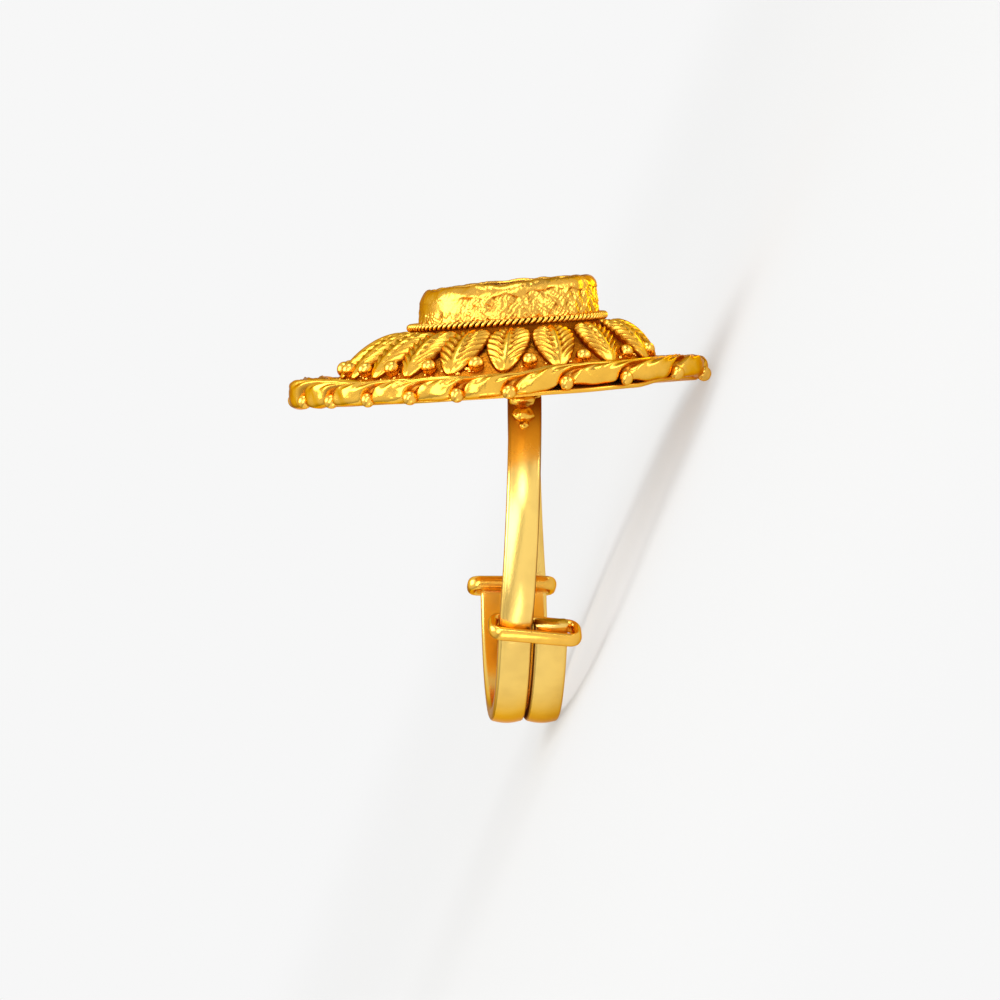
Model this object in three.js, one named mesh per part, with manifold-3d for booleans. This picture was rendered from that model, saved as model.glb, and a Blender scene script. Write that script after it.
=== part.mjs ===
// Adjustable gold cocktail ring with a round rosette head, lying on its side.
// Millimetres, +Z up. The ring is built upright in its own frame, with X along the finger, Z from
// the bottom of the band up to the head and the origin at the bottom of the band. It is then laid
// on the side it rests on, with the origin below the middle of its bounding box.
import * as THREE from "three";
import { ConvexHull } from "three/addons/math/ConvexHull.js";
import { mergeVertices } from "three/addons/utils/BufferGeometryUtils.js";
import Module from "manifold-3d";

// Band: two flat strips that lie side by side under the finger
const FINGER_RADIUS = 8.8;
const STRIP_THICKNESS = 0.85;
const STRIP_WIDTH = 1.75;
const STRIP_GAP = 0.12; // between the two strips where they run side by side
const STRIP_EDGE = 0.22; // rounding of the long edges
const STRIP_CROWN = 0.09; // how far the outer face bulges between its edges
const STRIP_TOP_OFFSET = 0.27; // sideways offset of a strip where it meets the head
const STRIP_STEPS = 38;
const STRIP_START_DEG = -168; // from the bottom of the band, inside the base plate until trimmed
const STRIP_END_PAST_LOOP_DEG = 5;

// Sliding loops: one on each strip's end, wrapped round the other strip
const NEAR_LOOP_DEG = 63.4; // from the bottom of the band
const FAR_LOOP_DEG = 72.5;
const LOOP_WIRE_THICKNESS = 0.42;
const LOOP_WIRE_HEIGHT = 0.66;
const LOOP_OWN_CLEARANCE = 0.3; // beside the strip that carries the loop
const LOOP_SLIDE_CLEARANCE = 0.1; // beside, over and under the strip that slides
const LOOP_CORNER = 0.45;
const LOOP_STEPS_PER_CORNER = 4;
const LOOP_WIRE_SIDES = 8;
const NEAR_LOOP_TILT_DEG = 6; // its end beside the sliding strip sits lower
const FAR_LOOP_TILT_DEG = 0;
const LOOP_SOLDER = { halfWidth: 0.73, halfLength: 0.36, halfDepth: 0.2, sunk: 0.06 };

// Head: its place on the band
const HEAD_HEIGHT = 17.85; // underside of the base plate above the bottom of the band
const HEAD_SHIFT = -1.38; // sideways, along the finger
const HEAD_LEAN_DEG = 4.1; // the head is soldered on a little askew
const SEAT_GAP = 0.1; // solder seam between the band and the base plate
const SLAB_SIZE = 30; // of the block that trims the band to that seam

// Base plate and its rope border
const PLATE_RADIUS = 10.75;
const PLATE_THICKNESS = 0.4;
const BORDER_RADIUS = 10.25; // middle of the border
const BORDER_HALF_WIDTH = 1.09;
const BORDER_HALF_HEIGHT = 0.62;
const BORDER_MIDDLE = 0.64; // above the underside of the plate
const LOBES = 22;
const LOBE_STEPS = 5;
const LOBE_SIDES = 9;
const LOBE_GROOVE = 0.3; // depth of the groove between lobes, as a share of the section
const LOBE_SLANT = 0.6;

// Granules
const GRANULE_SIDES = 10;
const GRANULE_ROWS = 5;
const BORDER_GRANULE_RADIUS = 0.4;
const BORDER_GRANULE_RING = 11.15;
const BORDER_GRANULE_HEIGHT = 0.32;
const GALLERY_GRANULE_RADIUS = 0.43;
const GALLERY_GRANULE_RING = 8.15;
const GALLERY_GRANULE_HEIGHT = 1.82;
const SHOULDER_BALL_RADIUS = 0.53;
const SHOULDER_BALL_DROP = 1.15; // below the underside of the plate
const SHOULDER_BALL_STANDOFF = 0.18; // of its centre from the outer face of the strip
const SHOULDER_TIP_RADIUS = 0.26;
const SHOULDER_TIP_DROP = 0.58; // below the centre of the ball
const SHOULDER_NECK = { topRadius: 0.5, footRadius: 0.34, length: 1.2, rise: 0.72 };

// Hand-laid spacing: ornaments stand closer together on some sides of the head than on others
const LOBE_LAYING = { startDeg: -0.5, sway: 0.21, swayDeg: 50.7, pinch: 0.13, pinchDeg: -13 };
const LEAF_LAYING = { startDeg: -1.1, sway: 0.25, swayDeg: 91.1, pinch: 0, pinchDeg: 0 };

// Leaf gallery: a bulging collar from the plate up to the bezel, covered in leaves
const GALLERY_RADIUS = 8.5;
const GALLERY_FOOT = 1.15;
const GALLERY_TOP_RADIUS = 5.25;
const GALLERY_TOP = 3.2;
const GALLERY_BULGE = 1.85; // exponent of the profile: 1 is a straight cone
const GALLERY_STEPS = 4;
const GALLERY_SEGMENTS = 36;
const LEAVES = 18;
const LEAF_WIDTH = 2.3;
const LEAF_RELIEF = 0.42;
const LEAF_RIB = 0.12;
const LEAF_BURIED = 0.3;
const LEAF_FULLNESS = 1.3; // over 1 puts the widest part above the middle
const LEAF_ROUNDNESS = 0.55; // under 1 rounds both ends
const LEAF_FROM = 0.02; // share of the gallery's profile at the tip
const LEAF_TO = 0.94; // and at the round end
const LEAF_BLUNT = 0.35; // how blunt the ends are, in steps
const LEAF_STEPS = 5;
const LEAF_UNDERSIDE = 0.85; // shares of the half width and of the relief
const LEAF_EDGE_HEIGHT = 0.35;
const LEAF_CHEEK = { side: 0.55, height: 0.95 };

// Bezel, its twisted wire and the stone; they sit off the middle of the plate
const BEZEL_SHIFT = 0.82;
const BEZEL_RADIUS = 4.9;
const BEZEL_TOP_RADIUS = 4.78;
const BEZEL_FOOT = 3.0;
const BEZEL_TOP = 6.0;
const BEZEL_WALL = 0.42;
const BEZEL_LIP = 0.7; // how far the lip is burnished in over the stone
const BEZEL_SHOULDER = 0.5; // rounding of the lip's outer edge
const BEZEL_DROOP = 0.3; // the lip is pressed lower and rounder on the -X side
const BEZEL_ROUND = 0.3; // share of the rounding at its middle corner
const BEZEL_LIP_DIP = 0.03; // of the lip's inner edge
const BEZEL_SEAT = { inset: 0.06, height: 0.2 }; // bevel over the stone's edge
const BEZEL_FLOOR = 4.25;
const BEZEL_SEGMENTS = 40;
const WIRE_RADIUS = 0.27;
const WIRE_RING = 5.1;
const WIRE_HEIGHT = 3.93;
const STONE_GAP = 0.1;
const STONE_FACETS = 16;
const STONE_GIRDLE = 5.3;
const STONE_TABLE_RADIUS = 2.7;
const STONE_TABLE_HEIGHT = 5.78;

// Lying on its side
const SIDE_DOWN = new THREE.Vector3(1, 0, -0.4).normalize();

const bandRadius = FINGER_RADIUS + STRIP_THICKNESS;
const rad = THREE.MathUtils.degToRad;
const wasm = await Module();
wasm.setup();

// Solids

// A closed surface through rings of points, closed on itself or capped at both ends.
function loft(rings, closed = false) {
  const sides = rings[0].length;
  const points = rings.flat();
  const index = [];
  const last = closed ? rings.length : rings.length - 1;
  for (let i = 0; i < last; i++) {
    for (let j = 0; j < sides; j++) {
      const a = i * sides + j;
      const b = i * sides + ((j + 1) % sides);
      const c = ((i + 1) % rings.length) * sides + j;
      const d = ((i + 1) % rings.length) * sides + ((j + 1) % sides);
      index.push(a, b, d, a, d, c);
    }
  }
  if (!closed) {
    const top = (rings.length - 1) * sides;
    for (let j = 1; j < sides - 1; j++) {
      index.push(0, j + 1, j);
      index.push(top, top + j, top + j + 1);
    }
  }
  return new THREE.BufferGeometry().setFromPoints(points).setIndex(index);
}

// The geometry as a solid, facing outwards, with shared vertices merged.
function solid(geometry) {
  const bare = geometry.clone();
  bare.deleteAttribute("normal");
  bare.deleteAttribute("uv");
  const merged = mergeVertices(bare, 1e-5);
  const triVerts = [];
  for (let i = 0; i < merged.index.count; i += 3) {
    const [a, b, c] = [0, 1, 2].map((k) => merged.index.getX(i + k));
    if (a !== b && b !== c && a !== c) triVerts.push(a, b, c);
  }
  const build = (triangles) =>
    new wasm.Manifold(
      new wasm.Mesh({
        numProp: 3,
        vertProperties: merged.attributes.position.array,
        triVerts: new Uint32Array(triangles),
      }),
    );
  const made = build(triVerts);
  return made.volume() > 0 ? made : build(triVerts.reverse());
}

const fuse = (solids) => solids.reduce((whole, piece) => whole.add(piece));

function geometryOf(made) {
  const mesh = made.getMesh();
  return new THREE.BufferGeometry()
    .setAttribute("position", new THREE.BufferAttribute(mesh.vertProperties, 3))
    .setIndex(new THREE.BufferAttribute(mesh.triVerts, 1));
}

function ball(radius, centre) {
  const sphere = new THREE.SphereGeometry(radius, GRANULE_SIDES, GRANULE_ROWS);
  return solid(sphere.translate(...centre));
}

// A LatheGeometry turned so that its axis is Z.
function turned(profile, segments) {
  const points = profile.map(([r, z]) => new THREE.Vector2(r, z));
  return new THREE.LatheGeometry(points, segments).rotateX(Math.PI / 2);
}

// Angles round the head, from the -Y side towards +X

const onCircle = (radius, angle, z, shift = 0) =>
  new THREE.Vector3(shift + radius * Math.sin(angle), -radius * Math.cos(angle), z);

// Equal steps from the start, moved by a swing that goes once round the head and a pinch that goes twice.
const laidAngle = (step, count, { startDeg, sway, swayDeg, pinch, pinchDeg }) => {
  const even = (2 * Math.PI * step) / count;
  const swayed = Math.sin(even - rad(swayDeg)) + Math.sin(rad(swayDeg));
  const pinched = Math.sin(2 * (even - rad(pinchDeg))) + Math.sin(2 * rad(pinchDeg));
  return rad(startDeg) + even + sway * swayed - pinch * pinched;
};

// Setting: base plate, rope border, leaf gallery, bezel and granules, soldered together

function basePlate() {
  const profile = [
    [0, 0],
    [PLATE_RADIUS, 0],
    [PLATE_RADIUS, PLATE_THICKNESS],
    [0, PLATE_THICKNESS],
  ];
  return solid(turned(profile, 2 * LOBES));
}

// A thick rope of slanted lobes: the section swells between grooves that wind round it.
function ropeBorder() {
  const rings = [];
  for (let i = 0; i < LOBES * LOBE_STEPS; i++) {
    const angle = laidAngle(i, LOBES * LOBE_STEPS, LOBE_LAYING);
    const ring = [];
    for (let j = 0; j < LOBE_SIDES; j++) {
      const turn = (2 * Math.PI * j) / LOBE_SIDES;
      const phase = (2 * Math.PI * i) / LOBE_STEPS - turn - LOBE_SLANT * Math.sin(turn);
      const swell = 1 - LOBE_GROOVE * (1 - Math.sqrt(Math.abs(Math.sin(phase / 2))));
      const square = 1 / Math.pow(Math.cos(turn) ** 4 + Math.sin(turn) ** 4, 1 / 4);
      const radius = BORDER_RADIUS + BORDER_HALF_WIDTH * swell * square * Math.cos(turn);
      const z = BORDER_MIDDLE + BORDER_HALF_HEIGHT * swell * square * Math.sin(turn);
      ring.push(onCircle(radius, angle, z));
    }
    rings.push(ring);
  }
  return solid(loft(rings, true));
}

// A point of the gallery: along is 0 at its foot on the plate and 1 at the bezel.
function galleryPoint(angle, along) {
  const radius = THREE.MathUtils.lerp(GALLERY_RADIUS, GALLERY_TOP_RADIUS, along);
  const rise = 1 - Math.pow(1 - along, GALLERY_BULGE);
  const z = THREE.MathUtils.lerp(GALLERY_FOOT, GALLERY_TOP, rise);
  return onCircle(radius, angle, z, BEZEL_SHIFT * along);
}

function gallery() {
  const angles = Array.from({ length: GALLERY_SEGMENTS }, (_, i) => (2 * Math.PI * i) / GALLERY_SEGMENTS);
  const rows = Array.from({ length: GALLERY_STEPS + 1 }, (_, i) => i / GALLERY_STEPS);
  const root = angles.map((angle) => onCircle(GALLERY_RADIUS, angle, PLATE_THICKNESS / 2));
  const rings = rows.map((along) => angles.map((angle) => galleryPoint(angle, along)));
  return solid(loft([root, ...rings]));
}

// Width of a leaf from its tip, 0, to its round end, 1: widest above the middle.
const leafSpread = (along) => Math.pow(Math.sin(Math.PI * Math.pow(along, LEAF_FULLNESS)), LEAF_ROUNDNESS);

// A leaf lies down the gallery with its tip on the plate: broad above the middle, ribbed along it.
function leaf(angle) {
  const rings = [];
  for (let i = 0; i <= LEAF_STEPS; i++) {
    const along = THREE.MathUtils.lerp(LEAF_FROM, LEAF_TO, i / LEAF_STEPS);
    const spread = leafSpread((i + LEAF_BLUNT) / (LEAF_STEPS + 2 * LEAF_BLUNT));
    const centre = galleryPoint(angle, along);
    const up = galleryPoint(angle, along + 0.01).sub(galleryPoint(angle, along - 0.01));
    const across = new THREE.Vector3(Math.cos(angle), Math.sin(angle), 0);
    const out = new THREE.Vector3().crossVectors(across, up).normalize();
    const halfWidth = (LEAF_WIDTH / 2) * spread;
    const relief = LEAF_RELIEF * spread;
    const section = [
      [-LEAF_UNDERSIDE, -LEAF_BURIED],
      [-1, LEAF_EDGE_HEIGHT * relief],
      [-LEAF_CHEEK.side, LEAF_CHEEK.height * relief],
      [0, relief + LEAF_RIB * spread],
      [LEAF_CHEEK.side, LEAF_CHEEK.height * relief],
      [1, LEAF_EDGE_HEIGHT * relief],
      [LEAF_UNDERSIDE, -LEAF_BURIED],
    ];
    rings.push(
      section.map(([side, height]) =>
        centre.clone().addScaledVector(across, side * halfWidth).addScaledVector(out, height),
      ),
    );
  }
  return solid(loft(rings));
}

// The collar that holds the stone, with its lip burnished in over the stone's edge.
function bezel() {
  const inner = BEZEL_RADIUS - BEZEL_WALL;
  const profile = (angle) => {
    const droop = BEZEL_DROOP * Math.pow((1 - Math.sin(angle)) / 2, 3);
    const top = BEZEL_TOP - droop;
    const shoulder = BEZEL_SHOULDER + droop;
    return [
      [inner / 2, BEZEL_FOOT],
      [BEZEL_RADIUS, BEZEL_FOOT],
      [BEZEL_TOP_RADIUS, top - shoulder],
      [BEZEL_TOP_RADIUS - BEZEL_ROUND * shoulder, top - BEZEL_ROUND * shoulder],
      [BEZEL_TOP_RADIUS - shoulder, top],
      [BEZEL_TOP_RADIUS - BEZEL_LIP, top - BEZEL_LIP_DIP],
      [inner - BEZEL_SEAT.inset, STONE_GIRDLE + BEZEL_SEAT.height],
      [inner, STONE_GIRDLE],
      [inner, BEZEL_FLOOR],
      [inner / 2, BEZEL_FLOOR],
    ];
  };
  const rings = Array.from({ length: BEZEL_SEGMENTS }, (_, i) => {
    const angle = (2 * Math.PI * i) / BEZEL_SEGMENTS;
    return profile(angle).map(([radius, z]) => onCircle(radius, angle, z, BEZEL_SHIFT));
  });
  return solid(loft(rings, true));
}

function twistedWire() {
  const ring = new THREE.TorusGeometry(WIRE_RING, WIRE_RADIUS, 6, BEZEL_SEGMENTS);
  return solid(ring.translate(BEZEL_SHIFT, 0, WIRE_HEIGHT));
}

function setting() {
  const pieces = [basePlate(), ropeBorder(), gallery(), bezel(), twistedWire()];
  for (let i = 0; i < LEAVES; i++) {
    pieces.push(leaf(laidAngle(i, LEAVES, LEAF_LAYING)));
    const between = laidAngle(i + 0.5, LEAVES, LEAF_LAYING);
    const seat = onCircle(GALLERY_GRANULE_RING, between, GALLERY_GRANULE_HEIGHT);
    pieces.push(ball(GALLERY_GRANULE_RADIUS, seat));
  }
  for (let i = 0; i < LOBES; i++) {
    const groove = laidAngle(i, LOBES, LOBE_LAYING);
    const seat = onCircle(BORDER_GRANULE_RING, groove, BORDER_GRANULE_HEIGHT);
    pieces.push(ball(BORDER_GRANULE_RADIUS, seat));
  }
  return fuse(pieces);
}

// Flat-backed stone with a many-sided table, held under the bezel's lip.
function stone() {
  const widest = BEZEL_RADIUS - BEZEL_WALL - STONE_GAP;
  const lip = BEZEL_TOP_RADIUS - BEZEL_LIP - STONE_GAP;
  const rows = [
    { radius: widest, z: BEZEL_FLOOR + STONE_GAP, turn: 0 },
    { radius: widest, z: STONE_GIRDLE - STONE_GAP, turn: 0 },
    { radius: lip, z: STONE_GIRDLE + STONE_GAP, turn: 0.5 },
    { radius: STONE_TABLE_RADIUS, z: STONE_TABLE_HEIGHT, turn: 0 },
  ];
  const rings = rows.map(({ radius, z, turn }) =>
    Array.from({ length: STONE_FACETS }, (_, i) =>
      onCircle(radius, (2 * Math.PI * (i + turn)) / STONE_FACETS, z, BEZEL_SHIFT),
    ),
  );
  return loft(rings);
}

// Band strips, each with the loop soldered on its end

const lowOffset = (STRIP_WIDTH + STRIP_GAP) / 2;

// A point of the band: angle from the bottom, negative on the strip's own leg.
const bandPoint = (side, radius, angle) =>
  new THREE.Vector3(side, radius * Math.sin(angle), bandRadius - radius * Math.cos(angle));

// Corners of a strip's section: sideways, and out from the finger.
function stripSection() {
  const edge = STRIP_WIDTH / 2;
  const outer = STRIP_THICKNESS - STRIP_CROWN;
  const right = [
    [edge - STRIP_EDGE, 0],
    [edge, STRIP_EDGE],
    [edge, outer - STRIP_EDGE],
    [edge - STRIP_EDGE, outer],
    [edge / 2, STRIP_THICKNESS - STRIP_CROWN / 4],
  ];
  const left = right.map(([side, out]) => [-side, out]).reverse();
  return [...right, [0, STRIP_THICKNESS], ...left];
}

// The strip goes from under the plate down its own side and up the other to its loop.
function strip(passedLoopDeg, ownLoopDeg) {
  const start = rad(STRIP_START_DEG);
  const end = rad(ownLoopDeg + STRIP_END_PAST_LOOP_DEG);
  const seatAngle = Math.acos((HEAD_HEIGHT - bandRadius) / bandRadius);
  const rings = [];
  for (let i = 0; i <= STRIP_STEPS; i++) {
    const angle = THREE.MathUtils.lerp(start, end, i / STRIP_STEPS);
    const rise = (-angle - rad(passedLoopDeg)) / (Math.PI - seatAngle - rad(passedLoopDeg));
    const share = THREE.MathUtils.clamp(rise, 0, 1);
    const offset = THREE.MathUtils.lerp(lowOffset, STRIP_TOP_OFFSET, share);
    rings.push(
      stripSection().map(([side, out]) => bandPoint(side - offset, FINGER_RADIUS + out, angle)),
    );
  }
  return solid(loft(rings));
}

// Corners and arcs of the loop's centre line: sideways, and out from the middle of the strip.
function loopOutline() {
  const half = LOOP_WIRE_THICKNESS / 2;
  const left = -lowOffset - STRIP_WIDTH / 2 - LOOP_OWN_CLEARANCE - half;
  const right = lowOffset + STRIP_WIDTH / 2 + LOOP_SLIDE_CLEARANCE + half;
  const reach = STRIP_THICKNESS / 2 + LOOP_SLIDE_CLEARANCE + half;
  const corners = [
    { side: right - LOOP_CORNER, out: reach - LOOP_CORNER, from: 0 },
    { side: left + LOOP_CORNER, out: reach - LOOP_CORNER, from: 90 },
    { side: left + LOOP_CORNER, out: LOOP_CORNER - reach, from: 180 },
    { side: right - LOOP_CORNER, out: LOOP_CORNER - reach, from: 270 },
  ];
  return corners.flatMap(({ side, out, from }) =>
    Array.from({ length: LOOP_STEPS_PER_CORNER + 1 }, (_, i) => {
      const turn = rad(from + (90 * i) / LOOP_STEPS_PER_CORNER);
      const normal = [Math.cos(turn), Math.sin(turn)];
      return { side: side + LOOP_CORNER * normal[0], out: out + LOOP_CORNER * normal[1], normal };
    }),
  );
}

function loop(loopDeg, tiltDeg) {
  const middle = FINGER_RADIUS + STRIP_THICKNESS / 2;
  const angle = rad(loopDeg);
  const along = new THREE.Vector3(0, Math.cos(angle), Math.sin(angle));
  const rings = loopOutline().map(({ side, out, normal }) =>
    Array.from({ length: LOOP_WIRE_SIDES }, (_, j) => {
      const turn = (2 * Math.PI * j) / LOOP_WIRE_SIDES;
      const swell = (LOOP_WIRE_THICKNESS / 2) * Math.cos(turn);
      const point = bandPoint(side + swell * normal[0], middle + out + swell * normal[1], angle);
      const climb = side * Math.tan(rad(tiltDeg));
      return point.addScaledVector(along, climb + (LOOP_WIRE_HEIGHT / 2) * Math.sin(turn));
    }),
  );
  return solid(loft(rings, true));
}

// Solder between the loop and the inner face of the strip that carries it.
function loopSolder(loopDeg) {
  const { halfWidth, halfLength, halfDepth, sunk } = LOOP_SOLDER;
  const lump = new THREE.SphereGeometry(1, GRANULE_SIDES, GRANULE_ROWS);
  lump.scale(halfWidth, halfLength, halfDepth);
  lump.rotateX(rad(loopDeg));
  const seat = bandPoint(-lowOffset, FINGER_RADIUS - sunk, rad(loopDeg));
  return solid(lump.translate(...seat));
}

// A ball, a smaller one below it and a neck above, soldered outside the leg under the plate.
function shoulderGrain() {
  const outerFace = (z) => -Math.sqrt(bandRadius ** 2 - (z - bandRadius) ** 2);
  const at = (z, standoff) => [-STRIP_TOP_OFFSET, outerFace(z) - standoff, z];
  const ballHeight = HEAD_HEIGHT - SHOULDER_BALL_DROP;
  const { topRadius, footRadius, length, rise } = SHOULDER_NECK;
  const neck = new THREE.CylinderGeometry(topRadius, footRadius, length, GRANULE_SIDES);
  neck.rotateX(Math.PI / 2);
  return fuse([
    ball(SHOULDER_BALL_RADIUS, at(ballHeight, SHOULDER_BALL_STANDOFF)),
    ball(SHOULDER_TIP_RADIUS, at(ballHeight - SHOULDER_TIP_DROP, 0)),
    solid(neck.translate(...at(ballHeight + rise, 0))),
  ]);
}

// Everything above the underside of the base plate, less the solder seam.
function aboveSeat(headFrame) {
  const slab = new THREE.BoxGeometry(SLAB_SIZE, SLAB_SIZE, SLAB_SIZE);
  slab.translate(0, 0, SLAB_SIZE / 2 - SEAT_GAP);
  return solid(slab.applyMatrix4(headFrame));
}

function shank(passedLoopDeg, ownLoopDeg, tiltDeg, headFrame) {
  const whole = fuse([
    strip(passedLoopDeg, ownLoopDeg),
    loop(ownLoopDeg, tiltDeg),
    loopSolder(ownLoopDeg),
    shoulderGrain(),
  ]);
  return whole.subtract(aboveSeat(headFrame));
}

// Assembly

const gold = new THREE.MeshStandardMaterial({ color: 0xf2b632, roughness: 0.22, metalness: 1 });
const crystal = new THREE.MeshStandardMaterial({ color: 0xd9d2cf, roughness: 0.05, metalness: 0 });

function named(name, geometry, material) {
  const mesh = new THREE.Mesh(geometry, material);
  mesh.name = name;
  return mesh;
}

const head = new THREE.Group();
head.position.set(HEAD_SHIFT, 0, HEAD_HEIGHT + HEAD_SHIFT * Math.tan(rad(HEAD_LEAN_DEG)));
head.rotation.y = -rad(HEAD_LEAN_DEG);
head.updateMatrix();
head.add(named("setting", geometryOf(setting()), gold), named("stone", stone(), crystal));

const halfTurn = new THREE.Matrix4().makeRotationZ(Math.PI);
const headFromBehind = halfTurn.clone().multiply(head.matrix);
const nearShank = shank(NEAR_LOOP_DEG, FAR_LOOP_DEG, FAR_LOOP_TILT_DEG, head.matrix);
const farShank = shank(FAR_LOOP_DEG, NEAR_LOOP_DEG, NEAR_LOOP_TILT_DEG, headFromBehind);
const farStrip = named("shank_far", geometryOf(farShank), gold);
farStrip.rotation.z = Math.PI;

const ring = new THREE.Group();
ring.add(head, named("shank_near", geometryOf(nearShank), gold), farStrip);

// Lying on its side: on the face of its convex hull that is under its centre of mass

function corners(group) {
  const points = [];
  group.updateMatrixWorld(true);
  group.traverse((mesh) => {
    if (!mesh.isMesh) return;
    const place = mesh.geometry.getAttribute("position");
    for (let i = 0; i < place.count; i++) {
      points.push(new THREE.Vector3().fromBufferAttribute(place, i).applyMatrix4(mesh.matrixWorld));
    }
  });
  return points;
}

function centreOfMass(group) {
  const sum = new THREE.Vector3();
  let volume = 0;
  group.updateMatrixWorld(true);
  group.traverse((mesh) => {
    if (!mesh.isMesh) return;
    const place = mesh.geometry.getAttribute("position");
    for (let i = 0; i < mesh.geometry.index.count; i += 3) {
      const [a, b, c] = [0, 1, 2].map((k) =>
        new THREE.Vector3()
          .fromBufferAttribute(place, mesh.geometry.index.getX(i + k))
          .applyMatrix4(mesh.matrixWorld),
      );
      const part = a.dot(new THREE.Vector3().crossVectors(b, c)) / 6;
      volume += part;
      sum.addScaledVector(a.add(b).add(c), part / 4);
    }
  });
  return sum.divideScalar(volume);
}

function restingNormal(group) {
  const centre = centreOfMass(group);
  const down = new THREE.Ray(centre);
  let best = null;
  for (const face of new ConvexHull().setFromPoints(corners(group)).faces) {
    const [a, b, c] = [face.edge, face.edge.next, face.edge.prev].map((edge) => edge.head().point);
    down.direction.copy(face.normal);
    const under = down.intersectTriangle(a, b, c, false, new THREE.Vector3());
    if (under && (!best || face.normal.dot(SIDE_DOWN) > best.dot(SIDE_DOWN))) best = face.normal;
  }
  return best.clone();
}

const part = new THREE.Group();
part.add(ring);
ring.quaternion.setFromUnitVectors(restingNormal(ring), new THREE.Vector3(0, 0, -1));
const box = new THREE.Box3().setFromPoints(corners(ring));
const middle = box.getCenter(new THREE.Vector3());
ring.position.set(-middle.x, -middle.y, -box.min.z);

export default part;
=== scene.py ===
import math

import bmesh
import bpy
import numpy as np
from mathutils import Matrix, Vector


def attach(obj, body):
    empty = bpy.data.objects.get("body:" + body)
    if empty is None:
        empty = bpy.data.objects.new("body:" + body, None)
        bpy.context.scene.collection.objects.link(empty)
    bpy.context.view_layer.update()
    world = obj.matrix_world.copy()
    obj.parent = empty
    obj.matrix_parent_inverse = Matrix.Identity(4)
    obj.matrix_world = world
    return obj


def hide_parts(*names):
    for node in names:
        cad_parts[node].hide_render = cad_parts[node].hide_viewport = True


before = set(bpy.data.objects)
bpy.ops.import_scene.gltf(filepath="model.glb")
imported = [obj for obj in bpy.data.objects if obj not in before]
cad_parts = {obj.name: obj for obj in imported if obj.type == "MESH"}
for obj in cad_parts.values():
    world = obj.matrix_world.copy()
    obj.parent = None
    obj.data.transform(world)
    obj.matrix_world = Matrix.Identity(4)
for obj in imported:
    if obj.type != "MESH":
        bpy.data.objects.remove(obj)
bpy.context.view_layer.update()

# How the ring lies
# The adjustable gold ring is made upright here, in millimetres: X runs along the finger, -Y is the side
# towards the camera, and Z goes up from the bottom of the band to the head. It is then tipped over until
# it lies on its side, on two granules of the border and on the band.

MM = 0.001
TIP_DEG = 66.442847
TIP_AXIS_DEG = 0.467114
LYING_AT = np.array([-11.4389648, 0.1535742, 1.5351680])

tip_axis = (math.sin(math.radians(TIP_AXIS_DEG)), math.cos(math.radians(TIP_AXIS_DEG)), 0)
lying = np.array(Matrix.Rotation(math.radians(TIP_DEG), 3, tip_axis))


def to_row(points):
    """Puts points of the upright ring on the floor: turned by the tipping, moved, and mm made metres."""
    return (np.asarray(points) @ lying.T + LYING_AT) * MM


# Camera
# A long lens at the height of the head, looking across the finger, a little from the left and above.
# It is rolled so that the lying ring stands upright in the picture.

VIEW_YAW_DEG = 3.4035
VIEW_DOWN_DEG = 2.3815
VIEW_ROLL_DEG = 0.229
VIEW_DISTANCE = 328.5
VIEW_AIM = np.array([-1.28, 0, 11.98])
PICTURE_PX = 1000
PX_PER_MM = 18.61
SENSOR = 36

yaw, down, roll = np.radians([VIEW_YAW_DEG, VIEW_DOWN_DEG, VIEW_ROLL_DEG])
forward = np.array([math.sin(yaw) * math.cos(down), math.cos(yaw) * math.cos(down), -math.sin(down)])
level = np.array([math.cos(yaw), -math.sin(yaw), 0])
above = np.cross(level, forward)
right = level * math.cos(roll) + above * math.sin(roll)
above = above * math.cos(roll) - level * math.sin(roll)

camera_data = bpy.data.cameras.new("camera")
camera_data.sensor_width = SENSOR
camera_data.lens = PX_PER_MM * VIEW_DISTANCE / PICTURE_PX * SENSOR
camera_data.clip_start = 10 * MM
camera = bpy.data.objects.new("camera", camera_data)
bpy.context.scene.collection.objects.link(camera)
camera_turn = np.stack([lying @ right, lying @ above, -(lying @ forward)], axis=1)
place = np.eye(4)
place[:3, :3] = camera_turn
place[:3, 3] = to_row(VIEW_AIM - VIEW_DISTANCE * forward)
camera.matrix_world = Matrix(place.tolist())
bpy.context.scene.camera = camera

# Floor
# A light table: a round sheet of white card that the ring lies on, lit from above near the ring and from
# below further out, so that it goes over into the white of the room without an edge.

FLOOR_RINGS = (0, 0.02, 0.05, 0.1, 0.2, 0.5, 1.5)
CARD_RADIUS = 0.05
GLOW_RADIUS = 0.16
CARD_GLOW = 0.45
CARD_BOUNCE = 1.1
CARD_COLOUR = "#c0c0bf"
ROOM_COLOUR = "#f7f7f7"
CARD_ROUGHNESS = 0.9
FLOOR_SEGMENTS = 96
MERGE_WITHIN = 0.0002


def srgb(code):
    """A colour from its hex code: each channel goes from display values to linear light."""
    shares = np.array([int(code[i:i + 2], 16) / 255 for i in (1, 3, 5)])
    linear = np.where(shares <= 0.04045, shares / 12.92, ((shares + 0.055) / 1.055) ** 2.4)
    return (*linear.tolist(), 1)


def add(tree, kind, inputs=None, **settings):
    """Adds a node: settings go on the node, inputs on its sockets, as values or as outputs to link."""
    made = tree.nodes.new(kind)
    for name, value in settings.items():
        setattr(made, name, value)
    for socket, value in (inputs or {}).items():
        if isinstance(value, bpy.types.NodeSocket):
            tree.links.new(value, made.inputs[socket])
        else:
            made.inputs[socket].default_value = value
    return made


def new_material(name):
    """An empty material: its node tree, and the Principled shader that its surface shows."""
    material = bpy.data.materials.new(name)
    material.use_nodes = True
    return material, material.node_tree, material.node_tree.nodes["Principled BSDF"]


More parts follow.
